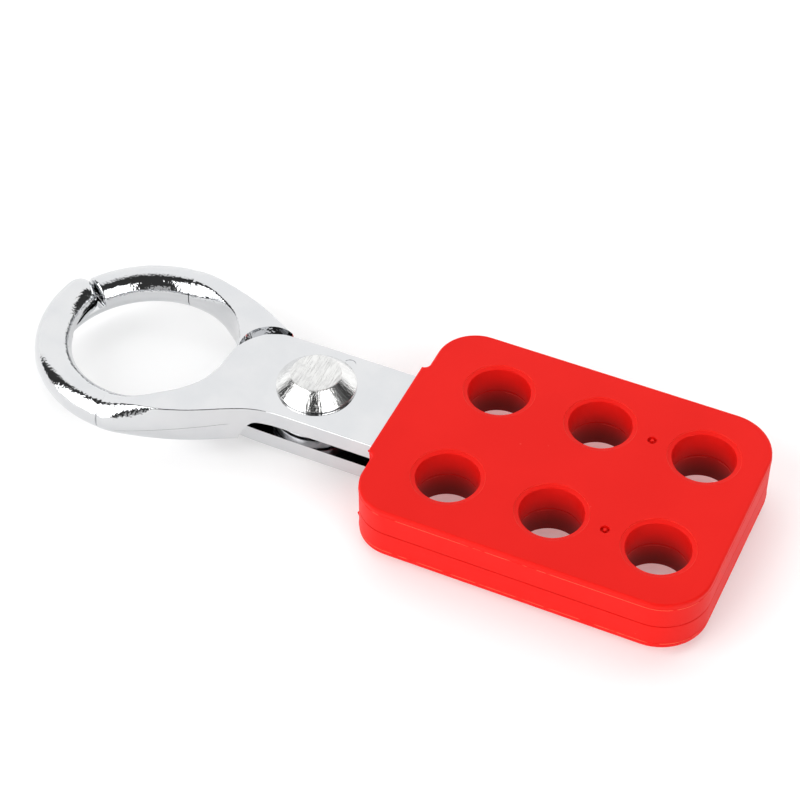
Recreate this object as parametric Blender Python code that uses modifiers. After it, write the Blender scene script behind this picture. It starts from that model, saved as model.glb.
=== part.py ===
"""Lockout hasp: two pivoting steel jaws whose tips close into a ring, with six padlock holes
through a pair of moulded plastic handle sleeves.

The pivot axis is +Z through the origin, and the origin is on the flat face of the lower rivet
head. The ring points to -X and the handle to +X. The upper jaw owns the ring arm on the -Y side
and the lower jaw, the same casting turned over, owns the one on the +Y side.
Inside each function the jaw's coordinates are measured from the pivot axis and the mid-plane
between the two jaws, and the piece is then raised by MID_HEIGHT.
"""

import math

import bmesh
import bpy
from mathutils import Matrix, Vector

MM = 0.001

# Ring: each jaw carries one arc of round bar, and the two arcs cross at the tips.
RING_CENTRE_X = -29.4 * MM
RING_CENTRE_OFFSET = 2.1 * MM
RING_RADIUS = 17.5 * MM
BAR_RADIUS = 3.05 * MM
SEAM_ANGLE = 270.0
LAP_GAP = 0.3 * MM

# Where each jaw's full bar stops and its half-thickness tongue ends, in degrees about its own
# arc's centre, counted as for the upper jaw.
UPPER_SHOULDER_ANGLE = 200.5
UPPER_TIP_ANGLE = 163.0
LOWER_SHOULDER_ANGLE = 212.0
LOWER_TIP_ANGLE = 176.0

# Plates: flat blades, one above the other, with the pivot rivet and a spacer between them.
PLATE_OUTER = 4.0 * MM
PLATE_INNER = 1.1 * MM
NECK_HALF_WIDTH = 8.4 * MM
CORNER_RADIUS = 6.0 * MM
ARM_BOTTOM = -3.0 * MM
SHOULDER_CENTRE = (-11.6 * MM, -5.3 * MM)
SHOULDER_RADIUS = 4.5 * MM

# Rivet and spacer.
PIVOT_HOLE_RADIUS = 4.1 * MM
SHANK_RADIUS = 4.0 * MM
HEAD_BASE_RADIUS = 6.4 * MM
HEAD_TOP_RADIUS = 4.0 * MM
HEAD_BASE_HEIGHT = 4.25 * MM
HEAD_TOP_HEIGHT = 6.8 * MM
HEAD_RIM = 0.25 * MM
SPACER_RADIUS = 7.2 * MM
SPACER_HALF_THICKNESS = 0.8 * MM

# Handle: a sleeve over each blade, with three columns of two padlock holes.
SLEEVE_LEFT = 14.65 * MM
SLEEVE_RIGHT = 70.6 * MM
SLEEVE_HALF_WIDTH = 20.75 * MM
SLEEVE_OUTER = 4.9 * MM
SLEEVE_INNER = 0.15 * MM
SLEEVE_EDGE_ROUND = 0.5 * MM
SLEEVE_LEFT_CORNER = 6.5 * MM
SLEEVE_RIGHT_CORNER = 7.8 * MM
COLLAR_LEFT = 13.6 * MM
COLLAR_HALF_WIDTH = 9.7 * MM
SLEEVE_CLEARANCE = 0.3 * MM
BLADE_LEFT = 18.0 * MM
BLADE_RIGHT = 67.6 * MM
BLADE_HALF_WIDTH = 17.8 * MM
BLADE_CORNER = 5.0 * MM
HOLE_FIRST_X = 27.0 * MM
HOLE_PITCH_X = 17.0 * MM
HOLE_PITCH_Y = 20.0 * MM
HOLE_RADIUS = 5.0 * MM
HOLE_RIM = 0.35 * MM
HOLE_WALL = 0.9 * MM

MID_HEIGHT = HEAD_TOP_HEIGHT
BAR_STATIONS = 18
CORNER_POINTS = 4
ROUND_SEGMENTS = 32

CHROME = (0.80, 0.80, 0.82)
STEEL = (0.72, 0.72, 0.73)
RED = (0.86, 0.035, 0.02)


def clear_scene():
    for old in list(bpy.data.objects):
        bpy.data.objects.remove(old, do_unlink=True)


def new_collection(name):
    collection = bpy.data.collections.new(name)
    bpy.context.scene.collection.children.link(collection)
    return collection


def material(name, colour, roughness, metallic):
    finish = bpy.data.materials.new(name)
    finish.use_nodes = True
    shader = finish.node_tree.nodes["Principled BSDF"]
    shader.inputs["Base Color"].default_value = (*colour, 1.0)
    shader.inputs["Roughness"].default_value = roughness
    shader.inputs["Metallic"].default_value = metallic
    finish.diffuse_color = (*colour, 1.0)
    return finish


def add_object(name, mesh, collection, placement):
    piece = bpy.data.objects.new(name, mesh)
    collection.objects.link(piece)
    piece.matrix_world = placement
    return piece


def add_cutter(name, mesh, placement):
    cutter = add_object(name, mesh, cutters, placement)
    cutter.hide_render = True
    cutter.display_type = 'WIRE'
    return cutter


def boolean(target, other, operation):
    change = target.modifiers.new(operation.lower() + "_" + other.name, 'BOOLEAN')
    change.operation = operation
    change.object = other
    change.solver = 'EXACT'


def bevel(target, width, segments):
    change = target.modifiers.new("rounded_edges", 'BEVEL')
    change.width = width
    change.segments = segments
    change.limit_method = 'ANGLE'
    change.angle_limit = math.radians(50.0)


def smooth(mesh):
    mesh.shade_smooth()
    mesh.set_sharp_from_angle(angle=math.radians(35.0))


def mesh_from_bmesh(name, work):
    mesh = bpy.data.meshes.new(name)
    work.to_mesh(mesh)
    work.free()
    return mesh


def filleted(corners, steps):
    """Turn corners (x, y, radius) of a closed outline into points, each corner a fillet arc."""
    points = []
    for index, (x, y, radius) in enumerate(corners):
        corner = Vector((x, y))
        before = Vector(corners[index - 1][:2]) - corner
        after = Vector(corners[(index + 1) % len(corners)][:2]) - corner
        if radius == 0.0:
            points.append(corner)
            continue
        half_angle = before.angle(after) / 2.0
        setback = radius / math.tan(half_angle)
        centre_line = (before.normalized() + after.normalized()).normalized()
        centre = corner + centre_line * (radius / math.sin(half_angle))
        start = corner + before.normalized() * setback - centre
        finish = corner + after.normalized() * setback - centre
        turn = start.angle_signed(finish)
        for step in range(steps + 1):
            angle = -turn * step / steps
            arm = Vector((start.x * math.cos(angle) - start.y * math.sin(angle),
                          start.x * math.sin(angle) + start.y * math.cos(angle)))
            points.append(centre + arm)
    return points


def slab(name, points, bottom, top):
    """A flat outline given thickness between two heights."""
    outline = bpy.data.curves.new(name, 'CURVE')
    outline.dimensions = '2D'
    outline.fill_mode = 'BOTH'
    outline.extrude = (top - bottom) / 2.0
    spline = outline.splines.new('POLY')
    spline.points.add(len(points) - 1)
    for target, point in zip(spline.points, points):
        target.co = (point[0], point[1], 0.0, 1.0)
    spline.use_cyclic_u = True
    source = bpy.data.objects.new(name, outline)
    bpy.context.scene.collection.objects.link(source)
    bpy.context.view_layer.update()
    graph = bpy.context.evaluated_depsgraph_get()
    mesh = bpy.data.meshes.new_from_object(source.evaluated_get(graph))
    bpy.data.objects.remove(source)
    work = bmesh.new()
    work.from_mesh(mesh)
    bmesh.ops.remove_doubles(work, verts=work.verts, dist=0.000001)
    bmesh.ops.dissolve_limit(work, angle_limit=math.radians(1.0), verts=work.verts, edges=work.edges)
    bmesh.ops.translate(work, verts=work.verts, vec=(0.0, 0.0, (top + bottom) / 2.0))
    work.to_mesh(mesh)
    work.free()
    return mesh


def cylinders(name, centres, radius, bottom, top, segments=ROUND_SEGMENTS):
    work = bmesh.new()
    for x, y in centres:
        place = Matrix.Translation((x, y, (bottom + top) / 2.0))
        bmesh.ops.create_cone(work, cap_ends=True, segments=segments, radius1=radius, radius2=radius,
                              depth=top - bottom, matrix=place)
    return mesh_from_bmesh(name, work)


def turned(name, profile, collection, placement):
    """A closed solid of revolution about Z from (radius, height) points, top to bottom."""
    work = bmesh.new()
    verts = [work.verts.new((radius, 0.0, height)) for radius, height in profile]
    for first, second in zip(verts, verts[1:]):
        work.edges.new((first, second))
    piece = add_object(name, mesh_from_bmesh(name, work), collection, placement)
    screw = piece.modifiers.new("turned", 'SCREW')
    screw.axis = 'Z'
    screw.steps = ROUND_SEGMENTS
    screw.render_steps = ROUND_SEGMENTS
    screw.use_merge_vertices = True
    screw.merge_threshold = 0.000001
    screw.use_smooth_shade = True
    return piece


def section(outer, inner, bottom, top, corner):
    """Points of a rounded upright rectangle between two points of the plan."""
    outer = Vector(outer)
    inner = Vector(inner)
    middle = (outer + inner) / 2.0
    half_width = (outer - inner).length / 2.0
    across = (outer - inner).normalized()
    half_height = (top - bottom) / 2.0
    corner = min(corner, half_width, half_height)
    points = []
    for quarter in range(4):
        side = 1.0 if quarter in (0, 3) else -1.0
        level = 1.0 if quarter in (0, 1) else -1.0
        for step in range(CORNER_POINTS):
            angle = math.radians(90.0 * (quarter + (step + 0.5) / CORNER_POINTS))
            offset = side * (half_width - corner) + corner * math.cos(angle)
            height = level * (half_height - corner) + corner * math.sin(angle)
            plan = middle + across * offset
            points.append((plan.x, plan.y, (top + bottom) / 2.0 + height))
    return points


def loft(name, sections):
    """One closed solid through sections that all have the same number of points."""
    work = bmesh.new()
    rings = [[work.verts.new(point) for point in points] for points in sections]
    for ring, following in zip(rings, rings[1:]):
        for index in range(len(ring)):
            after = (index + 1) % len(ring)
            work.faces.new((ring[index], ring[after], following[after], following[index]))
    work.faces.new(rings[0])
    work.faces.new(rings[-1])
    bmesh.ops.recalc_face_normals(work, faces=work.faces)
    return mesh_from_bmesh(name, work)


def bar_point(angle, radius):
    turn = math.radians(angle)
    return (RING_CENTRE_X + radius * math.cos(turn), RING_CENTRE_OFFSET + radius * math.sin(turn))


def limb_sections(tip_angle):
    """From the rounded tip round the ring's arc, then along the arm to the pivot plate."""
    sections = []
    tip_length = math.degrees(BAR_RADIUS / RING_RADIUS)
    for size in (0.35, 0.7, 0.92):
        angle = tip_angle + tip_length * (1.0 - math.sqrt(1.0 - size * size)) * 0.8
        half = BAR_RADIUS * size
        sections.append(section(bar_point(angle, RING_RADIUS + half),
                                bar_point(angle, RING_RADIUS - half), -half, half, half))
    start = tip_angle + tip_length * 0.8
    for index in range(BAR_STATIONS + 1):
        angle = start + (SEAM_ANGLE - start) * index / BAR_STATIONS
        sections.append(section(bar_point(angle, RING_RADIUS + BAR_RADIUS),
                                bar_point(angle, RING_RADIUS - BAR_RADIUS),
                                -BAR_RADIUS, BAR_RADIUS, BAR_RADIUS))
    arm = (((-25.6, -17.6), (-26.6, -12.4), 3.5, 2.4),
           ((-21.5, -15.9), (-23.2, -11.0), 3.85, 1.5),
           ((-17.6, -14.3), (-19.9, -8.4), 4.0, 0.9),
           ((-13.2, -12.2), (-17.4, -5.6), 4.0, 0.7),
           ((-9.0, -9.9), (-16.2, -3.6), 4.0, 0.7))
    for outer, inner, top, corner in arm:
        sections.append(section(Vector(outer) * MM, Vector(inner) * MM, ARM_BOTTOM, top * MM,
                                corner * MM))
    return sections


def blade_outline():
    """Flat plate: the root of the arm, the pivot corner, the neck and the wide handle part."""
    neck = NECK_HALF_WIDTH
    left = -15.7 * MM
    corners = [(-3.0 * MM, -neck, 4.0 * MM), (BLADE_LEFT, -neck, 1.5 * MM),
               (BLADE_LEFT, -BLADE_HALF_WIDTH, BLADE_CORNER),
               (BLADE_RIGHT, -BLADE_HALF_WIDTH, BLADE_CORNER),
               (BLADE_RIGHT, BLADE_HALF_WIDTH, BLADE_CORNER),
               (BLADE_LEFT, BLADE_HALF_WIDTH, BLADE_CORNER), (BLADE_LEFT, neck, 1.5 * MM),
               (left, neck, CORNER_RADIUS), (left, -2.4 * MM, 1.5 * MM),
               (-19.0 * MM, -9.8 * MM, 0.0), (-17.6 * MM, -13.4 * MM, 0.0),
               (-8.6 * MM, -9.65 * MM, 3.0 * MM)]
    return filleted(corners, 6)


def hole_centres():
    return [(HOLE_FIRST_X + column * HOLE_PITCH_X, row * HOLE_PITCH_Y / 2.0)
            for column in range(3) for row in (-1.0, 1.0)]


def tongue_cutter(name, shoulder_angle, placement):
    """Block that takes the lower half of the bar away beyond the shoulder."""
    turn = math.radians(shoulder_angle)
    size = Vector((16.0 * MM, 16.0 * MM, 10.0 * MM))
    work = bmesh.new()
    bmesh.ops.create_cube(work, size=1.0)
    bmesh.ops.scale(work, verts=work.verts, vec=size)
    bmesh.ops.translate(work, verts=work.verts,
                        vec=(RING_RADIUS - 2.0 * MM, -size.y / 2.0, LAP_GAP / 2.0 - size.z / 2.0))
    place = Matrix.Translation((RING_CENTRE_X, RING_CENTRE_OFFSET, 0.0)) @ Matrix.Rotation(turn, 4, 'Z')
    bmesh.ops.transform(work, matrix=place, verts=work.verts)
    return add_cutter(name, mesh_from_bmesh(name, work), placement)


def jaw(name, shoulder_angle, tip_angle, placement, finish):
    mesh = loft(name, limb_sections(tip_angle))
    piece = add_object(name, mesh, parts, placement)
    boolean(piece, tongue_cutter(name + "_tongue", shoulder_angle, placement), 'DIFFERENCE')
    clearance = cylinders(name + "_corner_clearance", [SHOULDER_CENTRE], SHOULDER_RADIUS,
                          -8.0 * MM, PLATE_INNER + 0.5 * MM)
    boolean(piece, add_cutter(name + "_corner_clearance", clearance, placement), 'DIFFERENCE')
    blade = slab(name + "_blade", blade_outline(), PLATE_INNER, PLATE_OUTER - 0.05 * MM)
    boolean(piece, add_cutter(name + "_blade", blade, placement), 'UNION')
    holes = cylinders(name + "_holes", hole_centres(), HOLE_RADIUS + HOLE_WALL + SLEEVE_CLEARANCE,
                      0.0, 8.0 * MM)
    boolean(piece, add_cutter(name + "_holes", holes, placement), 'DIFFERENCE')
    pivot = cylinders(name + "_pivot_hole", [(0.0, 0.0)], PIVOT_HOLE_RADIUS, 0.0, 8.0 * MM)
    boolean(piece, add_cutter(name + "_pivot_hole", pivot, placement), 'DIFFERENCE')
    mesh.materials.append(finish)
    smooth(mesh)
    return piece


def sleeve_outline():
    half = SLEEVE_HALF_WIDTH
    corners = [(COLLAR_LEFT, COLLAR_HALF_WIDTH, 0.3 * MM), (COLLAR_LEFT, -COLLAR_HALF_WIDTH, 0.3 * MM),
               (SLEEVE_LEFT, -COLLAR_HALF_WIDTH, 0.7 * MM), (SLEEVE_LEFT, -half, SLEEVE_LEFT_CORNER),
               (SLEEVE_RIGHT, -half, SLEEVE_RIGHT_CORNER), (SLEEVE_RIGHT, half, SLEEVE_RIGHT_CORNER),
               (SLEEVE_LEFT, half, SLEEVE_LEFT_CORNER), (SLEEVE_LEFT, COLLAR_HALF_WIDTH, 0.7 * MM)]
    return filleted(corners, 8)


def cavity_outline():
    """The blade's handle part with clearance all round, open through the collar."""
    gap = SLEEVE_CLEARANCE
    neck = NECK_HALF_WIDTH + gap
    wide = BLADE_HALF_WIDTH + gap
    mouth = COLLAR_LEFT - 4.0 * MM
    corners = [(mouth, neck, 0.0), (mouth, -neck, 0.0), (BLADE_LEFT - gap, -neck, 1.2 * MM),
               (BLADE_LEFT - gap, -wide, BLADE_CORNER), (BLADE_RIGHT + gap, -wide, BLADE_CORNER),
               (BLADE_RIGHT + gap, wide, BLADE_CORNER), (BLADE_LEFT - gap, wide, BLADE_CORNER),
               (BLADE_LEFT - gap, neck, 1.2 * MM)]
    return filleted(corners, 6)


def padlock_bores(name, placement):
    """Straight bores whose rims open out at the sleeve's outer face."""
    work = bmesh.new()
    for x, y in hole_centres():
        place = Matrix.Translation((x, y, 2.5 * MM))
        bmesh.ops.create_cone(work, cap_ends=True, segments=ROUND_SEGMENTS, radius1=HOLE_RADIUS,
                              radius2=HOLE_RADIUS, depth=8.0 * MM, matrix=place)
    return add_cutter(name, mesh_from_bmesh(name, work), placement)


def bore_rims(name, placement):
    work = bmesh.new()
    for x, y in hole_centres():
        place = Matrix.Translation((x, y, SLEEVE_OUTER))
        bmesh.ops.create_cone(work, cap_ends=True, segments=ROUND_SEGMENTS,
                              radius1=HOLE_RADIUS - HOLE_RIM, radius2=HOLE_RADIUS + 3.0 * HOLE_RIM,
                              depth=4.0 * HOLE_RIM, matrix=place)
    return add_cutter(name, mesh_from_bmesh(name, work), placement)


def sleeve(name, placement, finish):
    mesh = slab(name, sleeve_outline(), SLEEVE_INNER, SLEEVE_OUTER)
    piece = add_object(name, mesh, parts, placement)
    bevel(piece, SLEEVE_EDGE_ROUND, 2)
    gap = SLEEVE_CLEARANCE
    cavity = add_cutter(name + "_cavity",
                        slab(name + "_cavity", cavity_outline(), PLATE_INNER - gap, PLATE_OUTER + gap),
                        placement)
    posts = cylinders(name + "_hole_walls", hole_centres(), HOLE_RADIUS + HOLE_WALL, -2.0 * MM, 8.0 * MM)
    boolean(cavity, add_cutter(name + "_hole_walls", posts, placement), 'DIFFERENCE')
    boolean(piece, cavity, 'DIFFERENCE')
    boolean(piece, padlock_bores(name + "_bores", placement), 'DIFFERENCE')
    boolean(piece, bore_rims(name + "_bore_rims", placement), 'DIFFERENCE')
    mesh.materials.append(finish)
    smooth(mesh)
    return piece


def rivet(name, placement, finish):
    rim = HEAD_RIM
    upper = [(0.0, HEAD_TOP_HEIGHT), (HEAD_TOP_RADIUS - rim, HEAD_TOP_HEIGHT),
             (HEAD_TOP_RADIUS, HEAD_TOP_HEIGHT - rim), (HEAD_BASE_RADIUS, HEAD_BASE_HEIGHT + rim),
             (HEAD_BASE_RADIUS, HEAD_BASE_HEIGHT), (SHANK_RADIUS, HEAD_BASE_HEIGHT)]
    lower = [(radius, -height) for radius, height in reversed(upper)]
    piece = turned(name, upper + lower, parts, placement)
    piece.data.materials.append(finish)
    return piece


def spacer(name, placement, finish):
    half = SPACER_HALF_THICKNESS
    chamfer = 0.2 * MM
    profile = [(PIVOT_HOLE_RADIUS, half), (SPACER_RADIUS - chamfer, half), (SPACER_RADIUS, half - chamfer),
               (SPACER_RADIUS, chamfer - half), (SPACER_RADIUS - chamfer, -half),
               (PIVOT_HOLE_RADIUS, -half), (PIVOT_HOLE_RADIUS, half)]
    piece = turned(name, profile, parts, placement)
    piece.data.materials.append(finish)
    return piece


def pivot_empty(name, placement):
    empty = bpy.data.objects.new(name, None)
    parts.objects.link(empty)
    empty.empty_display_size = 0.01
    empty.matrix_world = placement
    return empty


def attach(pieces, parent):
    bpy.context.view_layer.update()
    for piece in pieces:
        piece.parent = parent
        piece.matrix_parent_inverse = parent.matrix_world.inverted()


clear_scene()
parts = new_collection("lockout_hasp")
cutters = new_collection("cutters")

upright = Matrix.Translation((0.0, 0.0, MID_HEIGHT))
turned_over = upright @ Matrix.Rotation(math.pi, 4, 'X')

upper_jaw = jaw("upper_jaw", UPPER_SHOULDER_ANGLE, UPPER_TIP_ANGLE, upright,
                material("upper_jaw_chrome", CHROME, 0.08, 1.0))
lower_jaw = jaw("lower_jaw", LOWER_SHOULDER_ANGLE, LOWER_TIP_ANGLE, turned_over,
                material("lower_jaw_chrome", CHROME, 0.08, 1.0))
upper_sleeve = sleeve("upper_sleeve", upright, material("upper_sleeve_red", RED, 0.4, 0.0))
lower_sleeve = sleeve("lower_sleeve", turned_over, material("lower_sleeve_red", RED, 0.4, 0.0))
pivot_rivet = rivet("pivot_rivet", upright, material("rivet_satin_chrome", STEEL, 0.3, 1.0))
pivot_spacer = spacer("pivot_spacer", upright, material("spacer_steel", STEEL, 0.3, 1.0))

attach([upper_jaw, upper_sleeve], pivot_empty("upper_pivot", upright))
attach([lower_jaw, lower_sleeve, pivot_rivet, pivot_spacer], pivot_empty("lower_pivot", upright))
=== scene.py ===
import math

import bmesh
import bpy
from mathutils import Matrix, Vector


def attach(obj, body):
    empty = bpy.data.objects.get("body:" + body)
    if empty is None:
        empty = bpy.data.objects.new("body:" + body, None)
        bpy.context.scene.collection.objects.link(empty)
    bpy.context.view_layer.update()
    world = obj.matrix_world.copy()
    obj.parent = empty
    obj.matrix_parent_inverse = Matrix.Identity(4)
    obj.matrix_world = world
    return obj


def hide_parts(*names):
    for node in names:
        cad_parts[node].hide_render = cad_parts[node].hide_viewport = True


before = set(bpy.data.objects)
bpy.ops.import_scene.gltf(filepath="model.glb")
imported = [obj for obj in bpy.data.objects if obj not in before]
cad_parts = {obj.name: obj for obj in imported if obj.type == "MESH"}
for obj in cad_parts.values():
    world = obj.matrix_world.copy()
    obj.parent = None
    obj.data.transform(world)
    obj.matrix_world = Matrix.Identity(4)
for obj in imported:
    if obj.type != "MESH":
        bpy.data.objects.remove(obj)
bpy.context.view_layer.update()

# ---------------------------------------------------------------------------------------------
# The two jaws are the same kind of steel forging, the second turned over, and chrome plated. A
# round bar makes each half of the ring, with a half-thickness tongue that laps the other jaw's,
# and past a fine seam the bar squares up into a flat arm and the pivot plate.
# ---------------------------------------------------------------------------------------------
pivot_height = 0.0068
ring_centre = Vector((-0.0294, 0.0021))
ring_radius = 0.01746
bar_radius = 0.00302
lap_height = 0.00015
bar_softness = bar_radius * 0.034
underside_softening = 2.6
seam_angle = 269.0
seam_groove = 0.00026
ring_step = 1.3
shaft_hole_radius = 0.0041


def bar_place(angle, radius):
    turn = math.radians(angle)
    return ring_centre + Vector((math.cos(turn), math.sin(turn))) * radius


def bar_section(outer, inner, bottom, top, low_crown, crown, softness, side_steps=9, edge_steps=5):
    """A section from the plan's outer point to its inner one, with bulging sides and flat top.

    The sides are parts of ellipses as tall as the two crowns: a round bar where a crown is its
    own height, a straight wall where it is much taller. Softness is the edge's rounding, which
    is larger on the underside."""
    middle = (outer + inner) / 2
    across = (outer - inner).normalized()
    half = (outer - inner).length / 2
    points = []
    for side, limit, height, level in ((1, top, crown, 1), (-1, top, crown, 1),
                                       (-1, -bottom, low_crown, -1), (1, -bottom, low_crown, -1)):
        tallest = max(height, limit)
        rounding = softness if level > 0 else softness * underside_softening
        last = math.asin((limit - rounding) / tallest)
        quarter = [Vector((half * math.cos(last * (step + 0.5) / side_steps),
                           tallest * math.sin(last * (step + 0.5) / side_steps)))
                   for step in range(side_steps)]
        leave = Vector((half * math.cos(last), tallest * math.sin(last)))
        slope = Vector((-half * math.sin(last), tallest * math.cos(last)))
        knee = leave + slope * ((limit - leave.y) / slope.y)
        land = Vector((max(knee.x - (knee - leave).length, half * 0.01), limit))
        for step in range(edge_steps + 1):
            t = step / edge_steps
            quarter.append(leave * (1 - t) ** 2 + knee * 2 * t * (1 - t) + land * t * t)
        if side * level < 0:
            quarter.reverse()
        for point in quarter:
            plan = middle + across * (side * point.x)
            points.append(Vector((plan.x, plan.y, level * point.y)))
    return points


def draw_out(loops):
    """Pulls one capped loop through all the others, as a bar is drawn out section by section."""
    work = bmesh.new()
    bmesh.ops.create_circle(work, segments=len(loops[0]), radius=1.0, cap_ends=True)
    cap = work.faces[:][0]
    for vert, point in zip(cap.verts, loops[0]):
        vert.co = point
    # The first cap closes the start. Each later one is left inside the bar, and is taken out.
    for loop in loops[1:]:
        grown = bmesh.ops.extrude_face_region(work, geom=[cap])["geom"]
        fresh = [item for item in grown if isinstance(item, bmesh.types.BMFace)][0]
        if cap.is_valid and len(work.faces) > len(loop) + 2:
            work.faces.remove(cap)
        cap = fresh
        for vert, point in zip(cap.verts, loop):
            vert.co = point
    bmesh.ops.recalc_face_normals(work, faces=work.faces)
    return work


def between(keys, spacing):
    """Smooth intermediate rows through rows of numbers, by a Catmull-Rom curve."""
    rows = []
    for index in range(len(keys) - 1):
        first = keys[max(index - 1, 0)]
        start, end = keys[index], keys[index + 1]
        last = keys[min(index + 2, len(keys) - 1)]
        steps = max(2, round(math.dist(start[:2], end[:2]) / spacing))
        for step in range(steps):
            t = step / steps
            rows.append([0.5 * (2 * b + (c - a) * t + (2 * a - 5 * b + 4 * c - d) * t * t
                                + (3 * b - a - 3 * c + d) * t ** 3)
                         for a, b, c, d in zip(first, start, end, last)])
    rows.append(list(keys[-1]))
    return rows


def tongue(points, height, depth):
    """Flattens a section's underside onto the lap, and lowers its crown by the given depth."""
    flat = []
    for point in points:
        level = height + (point.z - height) * depth if point.z > height else height
        flat.append(Vector((point.x, point.y, level)))
    return flat


# Arm and plate, from the seam to where the blade goes into the handle, in millimetres: the outer
# side's x and y, the inner side's x and y, underside, top, lower crown, upper crown and edge. The
# last five stay the same from where the arm has become a flat plate with straight walls.
plate = (-3.0, 4.0, 60.0, 60.0, 0.18)
arm_rows = (
    (-29.70, -18.48, -29.70, -12.36, -3.02, 3.08, 3.02, 3.08, 0.105),
    (-27.60, -18.32, -28.20, -12.42, -3.02, 3.30, 3.10, 3.33, 0.11),
    (-25.60, -17.75, -26.50, -12.40, -3.02, 3.58, 3.32, 3.70, 0.13),
    (-23.50, -16.95, -24.80, -12.10, -3.01, 3.80, 3.65, 4.20, 0.15),
    (-21.40, -16.05, -23.00, -11.50, -3.0, 3.93, 4.30, 5.20, 0.18),
    (-19.40, -15.15, -21.10, -10.60, -3.0, 3.99, 5.50, 7.50, 0.18),
    (-17.40, -14.20, -19.50, -9.45, -3.0, 4.0, 8.0, 12.0, 0.18),
    (-15.40, -13.20, -18.20, -8.10, -3.0, 4.0, 14.0, 25.0, 0.18),
    (-13.40, -12.15, -17.15, -6.60, -3.0, 4.0, 30.0, 50.0, 0.18),
    (-11.50, -11.10, -16.40, -4.70, *plate),
    (-9.70, -10.20, -15.90, -2.40, *plate),
    (-7.90, -9.40, -15.78, 0.00, *plate),
    (-6.10, -8.85, -15.50, 2.40, *plate),
    (-4.20, -8.52, -14.55, 4.60, *plate),
    (-2.20, -8.41, -13.00, 6.50, *plate),
    (0.00, -8.40, -10.90, 7.75, *plate),
    (3.00, -8.40, -8.00, 8.30, *plate),
    (8.00, -8.40, 2.00, 8.40, *plate),
    (17.80, -8.40, 17.80, 8.40, *plate),
)


def round_bar(angle, fullness=1.0, groove=0.0):
    half = bar_radius * fullness
    return bar_section(bar_place(angle, ring_radius + half - groove),
                       bar_place(angle, ring_radius - half + groove),
                       -bar_radius, bar_radius, bar_radius, bar_radius, bar_softness)


def shoulder_loop(angle, shrink, floor):
    """The bar where its lower half ends: that half drawn in by a share, and cut off at a floor."""
    centre = bar_place(angle, ring_radius)
    loop = []
    for point in round_bar(angle):
        if point.z < lap_height:
            plan = centre + (point.to_2d() - centre) * (1 - shrink)
            loop.append(Vector((plan.x, plan.y, max(point.z * (1 - shrink), floor))))
        else:
            loop.append(point)
    return loop


def jaw_loops(shoulder, tip):
    """The tongue's rounded tip, the lap, the full bar, the seam, then the arm and plate."""
    loops = []
    tip_span = 7.5
    tip_lift = 0.0003
    thinnest_crown = 0.25
    for step in range(8, 91, 5):
        reach = math.cos(math.radians(step))
        fullness = math.sin(math.radians(step)) ** 0.75
        crown = thinnest_crown + (1 - thinnest_crown) * fullness
        bar = round_bar(tip + tip_span * (1 - reach), fullness)
        loops.append(tongue(bar, lap_height + tip_lift * reach, crown))
    corner_span = 2.0
    corner_depth = 0.0006
    angle = tip + tip_span
    while angle < shoulder - corner_span:
        angle = min(angle + ring_step, shoulder - corner_span)
        loops.append(tongue(round_bar(angle), lap_height, 1.0))
    for step in range(10, 91, 10):
        turn = math.radians(step)
        loops.append(shoulder_loop(shoulder - corner_span * (1 - math.sin(turn)), 0.0,
                                   lap_height - corner_depth * (1 - math.cos(turn))))
    edge_shrink = 0.16
    edge_span = 1.5
    edge_start = shoulder + 0.1
    loops.append(shoulder_loop(edge_start, edge_shrink, -bar_radius * (1 - edge_shrink)))
    for step in range(15, 91, 15):
        turn = math.radians(step)
        loops.append(shoulder_loop(edge_start + edge_span * (1 - math.cos(turn)),
                                   edge_shrink * (1 - math.sin(turn)), -bar_radius))
    angle = shoulder + 1.6
    while angle < seam_angle - 0.85:
        angle = min(angle + ring_step, seam_angle - 0.8)
        loops.append(round_bar(angle))
    for angle in (seam_angle - 0.5, seam_angle - 0.15):
        loops.append(round_bar(angle, groove=seam_groove))
    for row in between(arm_rows, 0.5):
        section = bar_section(Vector(row[0:2]), Vector(row[2:4]), *row[4:])
        loops.append([point / 1000 for point in section])
    return loops


def recess_loops():
    """The dished cut beside the other jaw's plate: its wall runs out into the plate's underside."""
    loops = []
    floor = -3.0
    depth = 4.1
    straight_share = 0.45
    for level in (-6.0, -3.2, floor, -2.5, -2.0, -1.5, -1.0, -0.5, 0.0, 0.4, 0.7, 0.9, 1.02, 1.1):
        rise = max(level - floor, 0.0) / depth
        dish = 1 - math.sqrt(max(0.0, 1 - rise * rise))
        run_out = straight_share * rise + (1 - straight_share) * dish
        centre = Vector((-11.0 + 2.6 * run_out, -5.2 + 0.3 * run_out))
        radius = 5.0 - 2.0 * run_out
        plan = [Vector((-17.5, -3.0 - 0.6 * run_out))]
        for step in range(25):
            turn = math.radians(158 + 132 * step / 24)
            plan.append(centre + Vector((math.cos(turn), math.sin(turn))) * radius)
        plan += [Vector((-8.1 + 6.0 * run_out, -14.0)), Vector((30.0, -14.0)), Vector((30.0, 14.0)),
                 Vector((-17.5, 14.0))]
        loops.append([Vector((point.x, point.y, level)) / 1000 for point in plan])
    return loops


def stand(turned_over):
    """Where a shape made about the pivot stands: turned over for the lower half."""
    place = Matrix.Translation((0, 0, pivot_height))
    if turned_over:
        place = place @ Matrix.Rotation(math.pi, 4, 'X')
    return place


def make_piece(name, work, turned_over=False, finish=None):
    """Stands the shape at the pivot and makes it an object."""
    bmesh.ops.transform(work, matrix=stand(turned_over), verts=work.verts)
    mesh = bpy.data.meshes.new(name)
    work.to_mesh(mesh)
    work.free()
    piece = bpy.data.objects.new(name, mesh)
    bpy.context.scene.collection.objects.link(piece)
    if finish:
        mesh.materials.append(finish)
    mesh.shade_smooth()
    return piece


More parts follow.
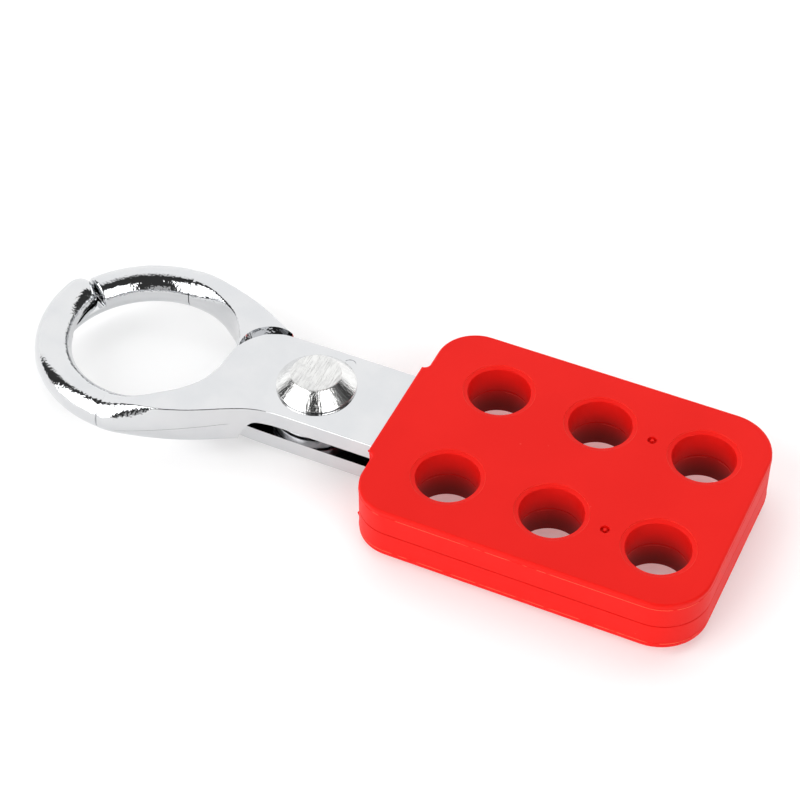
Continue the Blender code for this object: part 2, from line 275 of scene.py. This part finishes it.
def cut(piece, work, turned_over=False, operation='DIFFERENCE'):
    """Cuts the shape out of the piece, or joins it on, and throws the tool away."""
    tool = make_piece("tool", work, turned_over)
    change = piece.modifiers.new("cut", 'BOOLEAN')
    change.operation = operation
    change.solver = 'MANIFOLD'
    change.object = tool
    bpy.context.view_layer.update()
    graph = bpy.context.evaluated_depsgraph_get()
    result = bpy.data.meshes.new_from_object(piece.evaluated_get(graph))
    piece.modifiers.clear()
    old = piece.data
    piece.data = result
    bpy.data.meshes.remove(old)
    bpy.data.objects.remove(tool)


def even_shading(piece, sharp_degrees=32):
    """Lets wide flat faces stay flat beside their rounded edges."""
    piece.data.shade_smooth()
    piece.data.set_sharp_from_angle(angle=math.radians(sharp_degrees))
    weighted = piece.modifiers.new("even_shading", 'WEIGHTED_NORMAL')
    weighted.keep_sharp = True
    weighted.weight = 100


def outline(corners, segments=12):
    """A flat face from corners of x, y and rounding, all in millimetres."""
    work = bmesh.new()
    verts = [work.verts.new((x / 1000, y / 1000, 0)) for x, y, rounding in corners]
    work.faces.new(verts)
    for vert, (x, y, rounding) in zip(verts, corners):
        if not rounding:
            continue
        before, after = [edge.other_vert(vert).co - vert.co for edge in vert.link_edges]
        run = rounding / 1000 / math.tan(before.angle(after) / 2)
        bmesh.ops.bevel(work, geom=[vert], offset=run, offset_type='OFFSET', affect='VERTICES',
                        segments=segments, profile=0.5, material=-1)
    return work


def thicken(work, bottom, top):
    """Gives a flat face thickness between two heights."""
    bmesh.ops.translate(work, verts=work.verts, vec=(0, 0, bottom))
    grown = bmesh.ops.extrude_face_region(work, geom=work.faces[:])["geom"]
    bmesh.ops.translate(work, verts=[v for v in grown if isinstance(v, bmesh.types.BMVert)],
                        vec=(0, 0, top - bottom))
    bmesh.ops.recalc_face_normals(work, faces=work.faces)
    return work


def round_bars(centres, radius, bottom, top, segments=64):
    """Upright round bars, one for each centre, as cutters."""
    work = bmesh.new()
    for x, y in centres:
        bmesh.ops.create_cone(work, cap_ends=True, segments=segments, radius1=radius, radius2=radius,
                              depth=top - bottom, matrix=Matrix.Translation((x, y, (top + bottom) / 2)))
    return work


class Wire:
    """One socket of a material; sums on wires become Math nodes."""

    def __init__(self, tree, socket):
        self.tree = tree
        self.socket = socket

    def math(self, operation, *others, clamp=False):
        return paint(self.tree, "ShaderNodeMath", {"operation": operation, "use_clamp": clamp},
                     dict(enumerate((self, *others))))

    def __add__(self, other):
        return self.math('ADD', other)

    __radd__ = __add__

    def __mul__(self, other):
        return self.math('MULTIPLY', other)

    __rmul__ = __mul__

    def __sub__(self, other):
        return self.math('SUBTRACT', other)

    def __rsub__(self, other):
        return paint(self.tree, "ShaderNodeMath", {"operation": 'SUBTRACT'}, {0: other, 1: self})

    def ramp(self, low, high):
        """0 below low, 1 above high, with a smooth step between."""
        return paint(self.tree, "ShaderNodeMapRange", {"interpolation_type": 'SMOOTHSTEP'},
                     {"Value": self, "From Min": low, "From Max": high})

    def band(self, low, high, soft):
        return self.ramp(low - soft, low + soft) * (1 - self.ramp(high - soft, high + soft))


def paint(tree, kind, settings, feeds, output=0):
    """Adds a node: its settings first, then a value or a wire for each named socket."""
    node = tree.nodes.new(kind)
    for key, value in settings.items():
        setattr(node, key, value)
    for key, value in feeds.items():
        if isinstance(value, Wire):
            tree.links.new(value.socket, node.inputs[key])
        else:
            node.inputs[key].default_value = value
    return Wire(tree, node.outputs[output])


def blend_colours(tree, factor, first, second):
    return paint(tree, "ShaderNodeMix", {"data_type": 'RGBA'}, {0: factor, 6: first, 7: second}, 2)


def new_finish(name):
    finish = bpy.data.materials.new(name)
    finish.use_nodes = True
    tree = finish.node_tree
    shader = tree.nodes["Principled BSDF"]
    place = paint(tree, "ShaderNodeTexCoord", {}, {}, "Object")
    return finish, tree, shader, place


def chrome_finish(name, side):
    """Bright plate with a slight waviness, fine pitting and a parting line along the arm's wall.

    Side is 1 for the upper jaw and -1 for the lower, whose parting line is turned over with it."""
    finish, tree, shader, place = new_finish(name)
    shader.inputs["Metallic"].default_value = 1.0
    clouds = paint(tree, "ShaderNodeTexNoise", {}, {"Vector": place, "Scale": 160.0, "Detail": 3.0})
    grain = paint(tree, "ShaderNodeTexNoise", {}, {"Vector": place, "Scale": 2900.0, "Detail": 0.0})
    ripple = paint(tree, "ShaderNodeTexNoise", {}, {"Vector": place, "Scale": 900.0, "Detail": 2.0})
    swell = paint(tree, "ShaderNodeTexNoise", {}, {"Vector": place, "Scale": 260.0, "Detail": 1.0})
    east = paint(tree, "ShaderNodeSeparateXYZ", {}, {0: place}, 0)
    north = paint(tree, "ShaderNodeSeparateXYZ", {}, {0: place}, 1)
    level = paint(tree, "ShaderNodeSeparateXYZ", {}, {0: place}, 2)
    heading = paint(tree, "ShaderNodeNewGeometry", {}, {}, "Normal")
    upward = paint(tree, "ShaderNodeSeparateXYZ", {}, {0: heading}, 2)
    wall = 1 - upward.math('ABSOLUTE').ramp(0.45, 0.7)
    stretch = east.band(-0.027, -0.0105, 0.0006)
    outer = (north * -side - 0.0147 + (east + 0.026) * 0.55).ramp(0.0, 0.0003)
    drift = (level - pivot_height) * side - (east + 0.0165) * 0.093
    line = wall * stretch * outer * (1 - drift.math('ABSOLUTE').ramp(0.00002, 0.00006))
    colour = blend_colours(tree, clouds.ramp(0.3, 0.7), (0.625, 0.635, 0.65, 1), (0.66, 0.665, 0.675, 1))
    colour = blend_colours(tree, line * 0.5, colour, (0.10, 0.10, 0.11, 1))
    tree.links.new(colour.socket, shader.inputs["Base Color"])
    rough = 0.035 + 0.05 * clouds.ramp(0.35, 0.8) + 0.25 * line
    tree.links.new(rough.socket, shader.inputs["Roughness"])
    flat = upward.math('ABSOLUTE').ramp(0.975, 0.999)
    height = (grain * 0.7 + ripple * 0.6) * (1 - flat * 0.85) + swell * (0.8 - flat * 0.4) - line * 0.6
    bump = paint(tree, "ShaderNodeBump", {}, {"Height": height, "Distance": 0.00004, "Strength": 1.0})
    tree.links.new(bump.socket, shader.inputs["Normal"])
    return finish


def stamped_mark():
    """The shallow crescent stamped into the plate beside the rivet, between two arcs."""
    mark = bmesh.new()
    outer_arc = [(2.75 + 1.05 * math.cos(math.radians(turn)), 6.35 + 1.05 * math.sin(math.radians(turn)))
                 for turn in range(25, 156, 10)]
    inner_arc = [(2.75 + 1.0 * math.cos(math.radians(turn)), 6.22 + 1.05 * math.sin(math.radians(turn)))
                 for turn in range(155, 24, -10)]
    mark.faces.new([mark.verts.new((x / 1000, y / 1000, 0)) for x, y in outer_arc + inner_arc])
    return thicken(mark, 0.00382, 0.0042)


def blade_plan(start, neck, clearance=0.0):
    """The blade's flat outline: a neck from the start, then the wide part inside the handle."""
    near = blade_near - clearance
    far = blade_far + clearance
    wide = blade_half_width + clearance
    return outline(((start, neck, 0), (start, -neck, 0), (near, -neck, neck_corner),
                    (near, -wide, blade_corner), (far, -wide, blade_corner), (far, wide, blade_corner),
                    (near, wide, blade_corner), (near, neck, neck_corner)), 8)


def make_jaw(name, shoulder, tip, turned_over, finish):
    """The drawn bar, its dished cut and rivet hole, the blade with its holes, and the mark."""
    piece = make_piece(name, draw_out(jaw_loops(shoulder, tip)), turned_over, finish)
    cut(piece, draw_out(recess_loops()), turned_over)
    cut(piece, round_bars([(0, 0)], shaft_hole_radius, -0.01, 0.01), turned_over)
    cut(piece, thicken(blade_plan(16.5, 7.9), blade_bottom, blade_top), turned_over, 'UNION')
    cut(piece, round_bars(padlock_places, blade_hole_radius, 0, 0.01, 48), turned_over)
    cut(piece, stamped_mark(), turned_over)
    even_shading(piece)
    return piece


hole_columns = (0.027, 0.044, 0.061)
hole_rows = (-0.010, 0.010)
padlock_places = [(x, y) for x in hole_columns for y in hole_rows]
blade_hole_radius = 0.0062
blade_bottom = 0.00115
blade_top = 0.00395

# The blade's plan, in millimetres.
blade_near = 18.0
blade_far = 67.6
blade_half_width = 17.8
blade_corner = 5.0
neck_corner = 1.2

# The two laps are cut at different places: shoulder and tip are degrees round each jaw's ring.
upper_chrome = chrome_finish("upper_jaw_chrome", 1)
upper_jaw = make_jaw("upper_jaw_forging", 200.5, 160.5, False, upper_chrome)
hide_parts("upper_jaw")
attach(upper_jaw, "upper_half")

lower_chrome = chrome_finish("lower_jaw_chrome", -1)
lower_jaw = make_jaw("lower_jaw_forging", 212.0, 175.0, True, lower_chrome)
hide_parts("lower_jaw")
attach(lower_jaw, "lower_half")

# ---------------------------------------------------------------------------------------------
# The pivot rivet is turned steel: a shank through both plates with a cone-sided head at each
# end. The flats are left satin with fine scratches and the flanks are bright.
# ---------------------------------------------------------------------------------------------


def turn_on_lathe(profile, segments=96):
    """A solid of revolution about the pivot axis from radius and height in millimetres."""
    work = bmesh.new()
    verts = [work.verts.new((radius / 1000, 0, height / 1000)) for radius, height in profile]
    edges = [work.edges.new(pair) for pair in zip(verts, verts[1:])]
    bmesh.ops.spin(work, geom=verts + edges, cent=(0, 0, 0), axis=(0, 0, 1), angle=math.tau,
                   steps=segments, use_merge=True)
    bmesh.ops.remove_doubles(work, verts=work.verts, dist=0.0000005)
    bmesh.ops.recalc_face_normals(work, faces=work.faces)
    return work


def rounded_profile(corners, steps=5):
    """Profile points with an arc of the given rounding at each corner."""
    points = []
    for index, (radius, height, rounding) in enumerate(corners):
        corner = Vector((radius, height))
        if not rounding:
            points.append(tuple(corner))
            continue
        before = (Vector(corners[index - 1][:2]) - corner).normalized()
        after = (Vector(corners[index + 1][:2]) - corner).normalized()
        half = before.angle(after) / 2
        centre = corner + (before + after).normalized() * (rounding / math.sin(half))
        start = corner + before * (rounding / math.tan(half)) - centre
        finish = corner + after * (rounding / math.tan(half)) - centre
        turn = start.angle_signed(finish)
        for step in range(steps + 1):
            points.append(tuple(centre + Matrix.Rotation(-turn * step / steps, 2) @ start))
    return points


rivet_head = [(0, 6.78, 0), (3.95, 6.78, 0.22), (6.4, 4.45, 0.12), (6.4, 4.06, 0.04), (4.0, 4.06, 0)]
rivet_half = rounded_profile(rivet_head)
rivet_profile = rivet_half + [(radius, -height) for radius, height in reversed(rivet_half)]

satin, tree, shader, place = new_finish("rivet_satin_steel")
shader.inputs["Metallic"].default_value = 1.0
up = paint(tree, "ShaderNodeSeparateXYZ", {}, {0: place}, 2)
level = (up - pivot_height).math('ABSOLUTE')
flat = level.ramp(0.00664, 0.00674)
mottle = paint(tree, "ShaderNodeTexNoise", {}, {"Vector": place, "Scale": 700.0, "Detail": 4.0})
grain = paint(tree, "ShaderNodeTexNoise", {}, {"Vector": place, "Scale": 5200.0, "Detail": 2.0})
scratches = 0.0
for turn, width, seed in ((0.4, 7000.0, 0.0), (1.5, 9000.0, 0.3), (2.4, 8000.0, 0.7)):
    along = paint(tree, "ShaderNodeMapping", {}, {"Vector": place, "Rotation": (0, 0, turn),
                                                  "Location": (seed, seed, 0),
                                                  "Scale": (width, width * 0.03, 1.0)})
    streak = paint(tree, "ShaderNodeTexNoise", {}, {"Vector": along, "Scale": 1.0, "Detail": 1.0})
    scratches = scratches + streak.ramp(0.60, 0.72)
east = paint(tree, "ShaderNodeSeparateXYZ", {}, {0: place}, 0)
north = paint(tree, "ShaderNodeSeparateXYZ", {}, {0: place}, 1)
around = paint(tree, "ShaderNodeCombineXYZ", {},
               {"X": north.math('ARCTAN2', east) * 24, "Y": level * 1100})
tooling = paint(tree, "ShaderNodeTexNoise", {}, {"Vector": around, "Scale": 1.0, "Detail": 3.0})
colour = blend_colours(tree, mottle.ramp(0.35, 0.7), (0.81, 0.81, 0.80, 1), (0.73, 0.73, 0.725, 1))
colour = blend_colours(tree, (1 - flat) * tooling.ramp(0.45, 0.7) * 0.35, colour, (0.95, 0.95, 0.95, 1))
colour = blend_colours(tree, flat * scratches.ramp(0.1, 1.2) * 0.2, colour, (0.50, 0.50, 0.50, 1))
tree.links.new(colour.socket, shader.inputs["Base Color"])
rough = 0.12 + 0.05 * mottle + flat * (0.26 + 0.10 * scratches)
tree.links.new(rough.socket, shader.inputs["Roughness"])
height = grain * (0.4 + flat * 0.4) + flat * scratches * 1.6 + mottle * 0.6 + (1 - flat) * tooling * 2.0
bump = paint(tree, "ShaderNodeBump", {}, {"Height": height, "Distance": 0.00002, "Strength": 1.0})
tree.links.new(bump.socket, shader.inputs["Normal"])

rivet = make_piece("rivet", turn_on_lathe(rivet_profile), False, satin)
even_shading(rivet)
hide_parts("pivot_rivet")
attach(rivet, "lower_half")

# ---------------------------------------------------------------------------------------------
# The spacer is a plain turned washer of dull steel, with its edges just broken. It sits on the
# rivet's shank and keeps the two plates apart.
# ---------------------------------------------------------------------------------------------
spacer_corners = [(4.1, 0.8, 0), (7.2, 0.8, 0.15), (7.2, -0.8, 0.15), (4.1, -0.8, 0)]
spacer_profile = rounded_profile(spacer_corners)
spacer_profile.append(spacer_profile[0])

washer_steel, tree, shader, place = new_finish("spacer_steel")
shader.inputs["Metallic"].default_value = 1.0
mottle = paint(tree, "ShaderNodeTexNoise", {}, {"Vector": place, "Scale": 900.0, "Detail": 3.0})
colour = blend_colours(tree, mottle, (0.42, 0.42, 0.43, 1), (0.60, 0.60, 0.61, 1))
tree.links.new(colour.socket, shader.inputs["Base Color"])
rough = 0.2 + 0.2 * mottle
tree.links.new(rough.socket, shader.inputs["Roughness"])
bump = paint(tree, "ShaderNodeBump", {}, {"Height": mottle, "Distance": 0.00001, "Strength": 1.0})
tree.links.new(bump.socket, shader.inputs["Normal"])

spacer = make_piece("spacer_washer", turn_on_lathe(spacer_profile), False, washer_steel)
even_shading(spacer)
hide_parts("pivot_spacer")
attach(spacer, "lower_half")

# ---------------------------------------------------------------------------------------------
# The handle sleeves are red plastic moulded over each jaw's blade. Each has six padlock holes in
# shallow round dimples, two small locating-pin marks, a flash line round its walls, and a short
# collar where the plate comes out.
# ---------------------------------------------------------------------------------------------
sleeve_corners = ((13.66, 9.9, 0.8), (14.7, 10.4, 0.95), (14.7, 20.69, 6.5), (70.54, 20.69, 7.8),
                  (70.54, -20.69, 7.8), (14.7, -20.69, 6.5), (14.7, -10.4, 0.95), (13.66, -9.9, 0.8))
hole_pitch = 0.017
bore_radius = 4.97
lip_rounding = 0.15
wall_top = 4.9
edge_rounding = 0.4
pin_mark_x = 0.0525

# The room round the blade is a little larger than the blade, so that the two meshes stay apart.
room_clearance = 0.04
room_gap = 0.00009

# Small bumps left by the mould's gates: their centre and radius, in millimetres.
gate_bumps = (((13.70, 10.25, 4.1), 0.24), ((13.62, -9.5, 4.1), 0.22),
              ((15.50, 17.2, 1.4), 0.26), ((15.50, 17.1, 1.9), 0.20))


def sleeve_loops():
    """The sleeve's outline at each height of its wall, moved out or in along its own normals."""
    flat_face = outline(sleeve_corners, 14)
    face = flat_face.faces[:][0]
    ring = [v.co.to_2d() for v in face.verts]
    flat_face.free()
    count = len(ring)
    area = sum(ring[i - 1].cross(ring[i]) for i in range(count))
    if area < 0:
        ring.reverse()
    outward = []
    for index, point in enumerate(ring):
        ahead = (ring[(index + 1) % count] - point).normalized()
        behind = (point - ring[index - 1]).normalized()
        first = Vector((ahead.y, -ahead.x))
        second = Vector((behind.y, -behind.x))
        normal = (first + second).normalized()
        outward.append(normal / max(normal.dot(first), 0.6))
    # Offset and height in millimetres: the eased foot, the wall, the flash ridge, the top edge.
    steps = [(-0.08, 0.055), (-0.04, 0.07), (-0.01, 0.10), (0.0, 0.15), (0.0, 0.85), (0.0, 3.70),
             (0.0, 3.76), (0.055, 3.83), (0.055, 3.87), (0.0, 3.94)]
    for degree in range(0, 91, 10):
        turn = math.radians(degree)
        steps.append((edge_rounding * (math.cos(turn) - 1),
                      wall_top - edge_rounding + edge_rounding * math.sin(turn)))
    loops = []
    for offset, height in steps:
        loops.append([Vector((*(point + normal * offset / 1000), height / 1000))
                      for point, normal in zip(ring, outward)])
    return loops


def red_plastic(name):
    """Semi-matt moulded plastic with a fine pebbled skin, faint flow clouds and dust specks.

    Painted light, not the plastic's own colour: painted shade darkens the holes' walls towards the
    floor, and thin pale lines are painted highlights on the lips of the holes, on the moulds' seam
    in them and on the walls' flash."""
    finish, tree, shader, place = new_finish(name)
    clouds = paint(tree, "ShaderNodeTexNoise", {}, {"Vector": place, "Scale": 60.0, "Detail": 3.0})
    skin = paint(tree, "ShaderNodeTexNoise", {}, {"Vector": place, "Scale": 2200.0, "Detail": 3.0})
    dents = paint(tree, "ShaderNodeTexNoise", {}, {"Vector": place, "Scale": 330.0, "Detail": 2.0})
    speck = paint(tree, "ShaderNodeTexVoronoi", {}, {"Vector": place, "Scale": 300.0})
    dust = (1 - speck.ramp(0.03, 0.06)) * dents.ramp(0.56, 0.6)
    colour = blend_colours(tree, clouds.ramp(0.3, 0.7), (0.76, 0.0055, 0.0030, 1), (0.73, 0.0045, 0.0024, 1))
    colour = blend_colours(tree, dust * 0.35, colour, (0.85, 0.10, 0.07, 1))
    east = paint(tree, "ShaderNodeSeparateXYZ", {}, {0: place}, 0)
    north = paint(tree, "ShaderNodeSeparateXYZ", {}, {0: place}, 1)
    up = paint(tree, "ShaderNodeSeparateXYZ", {}, {0: place}, 2)
    heading = paint(tree, "ShaderNodeNewGeometry", {}, {}, "Normal")
    upward = paint(tree, "ShaderNodeSeparateXYZ", {}, {0: heading}, 2)
    # Inside covers the padlock holes and stops short of the sleeve's own walls.
    inside = east.band(0.0205, 0.0672, 0.0004) * north.band(-0.0163, 0.0163, 0.0004)
    bore = inside * (1 - upward.math('ABSOLUTE').ramp(0.5, 0.8))
    # Painted shade: the holes' walls are painted darker towards the floor, standing in for the shade deep in
    # the holes.
    painted_hole_shade = 1 - (up - pivot_height).ramp(-0.0038, 0.0028)
    colour = blend_colours(tree, bore * painted_hole_shade * 0.85, colour, (0.10, 0.0004, 0.0003, 1))
    whole_pitches = hole_pitch * 10
    from_column = east - hole_columns[0] + hole_pitch / 2 + whole_pitches
    along = from_column.math('MODULO', hole_pitch) - hole_pitch / 2
    across = north.math('ABSOLUTE') - hole_rows[1]
    reach = (along * along + across * across).math('SQRT')
    # Painted highlight: a thin pale ring on each hole's lip, where its edge catches the light.
    lip_highlight = reach.band(0.00568, 0.00576, 0.00002) * upward.math('ABSOLUTE').ramp(0.5, 0.8) * inside
    colour = blend_colours(tree, lip_highlight * 0.6, colour, (0.95, 0.15, 0.09, 1))
    # Painted highlight: a broken pale line along the moulds' seam inside the holes, where the light catches
    # it.
    seam_highlight = bore * (up - pivot_height).band(-0.00042, -0.00032, 0.00003) * dents.ramp(0.47, 0.55)
    colour = blend_colours(tree, seam_highlight * 0.8, colour, (0.75, 0.05, 0.035, 1))
    # Painted highlight: a broken pale line along the flash ridge round the walls, where the ridge catches
    # the light.
    flash_highlight = (up - pivot_height).math('ABSOLUTE').band(0.00380, 0.00389, 0.00002)
    flash_highlight = flash_highlight * (1 - inside) * dents.ramp(0.44, 0.52) * 0.9
    colour = blend_colours(tree, flash_highlight, colour, (0.92, 0.16, 0.09, 1))
    tree.links.new(colour.socket, shader.inputs["Base Color"])
    rough = 0.42 + 0.10 * clouds + 0.06 * skin
    tree.links.new(rough.socket, shader.inputs["Roughness"])
    shader.inputs["Specular IOR Level"].default_value = 0.18
    shader.inputs["Specular Tint"].default_value = (1.0, 0.92, 0.80, 1)
    height = skin * 0.8 + dents * 2.0
    bump = paint(tree, "ShaderNodeBump", {}, {"Height": height, "Distance": 0.000006, "Strength": 1.0})
    tree.links.new(bump.socket, shader.inputs["Normal"])
    return finish


def copies(shape, places):
    """The same shape at each place."""
    pattern = bpy.data.meshes.new("pattern")
    shape.to_mesh(pattern)
    shape.free()
    work = bmesh.new()
    for x, y in places:
        count = len(work.verts)
        work.from_mesh(pattern)
        work.verts.ensure_lookup_table()
        bmesh.ops.translate(work, verts=work.verts[count:], vec=(x, y, 0))
    bpy.data.meshes.remove(pattern)
    return work


def blade_room(turned_over):
    """The room that the jaw's blade fills, with posts of plastic left through the blade's holes."""
    plan = blade_plan(9.0, 8.4 + room_clearance, room_clearance)
    room = make_piece("room", thicken(plan, blade_bottom - room_gap, blade_top + room_gap), turned_over)
    cut(room, round_bars(padlock_places, 0.0061, 0, 0.01, 48), turned_over)
    shape = bmesh.new()
    shape.from_mesh(room.data)
    bpy.data.objects.remove(room)
    bmesh.ops.transform(shape, matrix=stand(turned_over).inverted(), verts=shape.verts)
    return shape


def padlock_bore():
    """One hole as a turned cutter: the bore, its rounded lip and the shallow dimple round it."""
    profile = [(0, -1.0), (bore_radius, -1.0)]
    for degree in range(0, 76, 15):
        turn = math.radians(degree)
        profile.append((bore_radius + lip_rounding * (1 - math.cos(turn)),
                        wall_top - 0.22 - lip_rounding * (1 - math.sin(turn))))
    profile += [(5.34, wall_top - 0.20), (5.52, wall_top - 0.14), (5.70, wall_top - 0.11),
                (5.76, wall_top), (5.78, wall_top + 0.6), (0, wall_top + 0.6)]
    return turn_on_lathe(profile, 72)


def make_sleeve(name, turned_over, finish):
    """The moulding, less the blade's room, the padlock holes and the marks, plus the gate bumps."""
    piece = make_piece(name, draw_out(sleeve_loops()), turned_over, finish)
    cut(piece, blade_room(turned_over), turned_over)
    cut(piece, copies(padlock_bore(), padlock_places), turned_over)
    ring_groove = turn_on_lathe([(0.26, 4.2), (0.26, 5.2), (0.78, 5.2), (0.66, 4.3), (0.26, 4.2)], 32)
    cut(piece, copies(ring_groove, [(pin_mark_x, y) for y in hole_rows]), turned_over)
    for spot, radius in gate_bumps:
        bump = bmesh.new()
        bmesh.ops.create_icosphere(bump, subdivisions=3, radius=radius / 1000,
                                   matrix=Matrix.Translation(Vector(spot) / 1000))
        cut(piece, bump, turned_over, 'UNION')
    even_shading(piece)
    return piece


upper_red = red_plastic("upper_sleeve_red")
upper_sleeve = make_sleeve("upper_sleeve_moulding", False, upper_red)
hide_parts("upper_sleeve")
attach(upper_sleeve, "upper_half")

lower_red = red_plastic("lower_sleeve_red")
lower_sleeve = make_sleeve("lower_sleeve_moulding", True, lower_red)
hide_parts("lower_sleeve")
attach(lower_sleeve, "lower_half")

# ---------------------------------------------------------------------------------------------
# The stage: a pale table, an overhead soft box that doesn't show in reflections, and a studio of
# one wide white wall, two soft boxes and dimmer panels in an otherwise dark room.
# ---------------------------------------------------------------------------------------------
table = bmesh.new()
bmesh.ops.create_grid(table, x_segments=1, y_segments=1, size=3.0)
table_mesh = bpy.data.meshes.new("table")
table.to_mesh(table_mesh)
table.free()
floor = bpy.data.objects.new("table", table_mesh)
bpy.context.scene.collection.objects.link(floor)
table_white, tree, shader, place = new_finish("table_white")
shader.inputs["Base Color"].default_value = (0.8, 0.8, 0.8, 1)
shader.inputs["Roughness"].default_value = 0.9
shader.inputs["Specular IOR Level"].default_value = 0.0
shader.inputs["Emission Color"].default_value = (1, 1, 1, 1)
shader.inputs["Emission Strength"].default_value = 0.26
table_mesh.materials.append(table_white)

studio = bpy.data.worlds.new("studio")
bpy.context.scene.world = studio
studio.use_nodes = True
tree = studio.node_tree
tree.nodes.clear()
direction = paint(tree, "ShaderNodeTexCoord", {}, {}, "Generated")
east = paint(tree, "ShaderNodeSeparateXYZ", {}, {0: direction}, 0)
north = paint(tree, "ShaderNodeSeparateXYZ", {}, {0: direction}, 1)
up = paint(tree, "ShaderNodeSeparateXYZ", {}, {0: direction}, 2)

# Bearings are degrees from +Y towards +X, and rises are degrees above the horizon.
bearing = east.math('ARCTAN2', north) * (180 / math.pi)
rise = up.math('ARCSINE') * (180 / math.pi)
wall = bearing.band(-88, 42, 3) * (1 - rise.ramp(66, 88))
left_box = bearing.band(-171, -113, 1.5) * (1 - rise.ramp(53, 60))
right_box = bearing.band(100, 140, 2) * rise.band(4, 49, 2)
side_wall = bearing.band(70, 99, 3) * (1 - rise.ramp(40, 60))
behind = bearing.band(157, 178, 2) * rise.band(-5, 24, 3)
darkness = 0.045
glow = darkness + wall * 1.18 + left_box * 3.0 + right_box * 3.2 + side_wall * 0.12 + behind * 0.5
backdrop = paint(tree, "ShaderNodeBackground", {}, {"Color": (1, 1, 1, 1), "Strength": glow})
output = tree.nodes.new("ShaderNodeOutputWorld")
tree.links.new(backdrop.socket, output.inputs["Surface"])

overhead_side = 1.2
overhead = bpy.data.lights.new("overhead_softbox", 'AREA')
overhead.shape = 'RECTANGLE'
overhead.size = overhead_side
overhead.size_y = overhead_side
overhead.energy = 3.0
overhead_lamp = bpy.data.objects.new("overhead_softbox", overhead)
bpy.context.scene.collection.objects.link(overhead_lamp)
overhead_lamp.location = (0.0, 0.1, 1.2)
overhead_lamp.visible_glossy = False

camera_place = (0.123198, -0.236944, 0.274181 + pivot_height)
camera_heading = Vector((-0.291194, 0.634467, -0.716001))
camera_data = bpy.data.cameras.new("camera")
camera_data.sensor_width = 36.0
camera_data.lens = 108.35
camera_data.clip_start = 0.01
camera = bpy.data.objects.new("camera", camera_data)
bpy.context.scene.collection.objects.link(camera)
camera.location = camera_place
camera.rotation_euler = camera_heading.to_track_quat('-Z', 'Y').to_euler()
bpy.context.scene.camera = camera
bpy.context.scene.view_settings.view_transform = 'Standard'
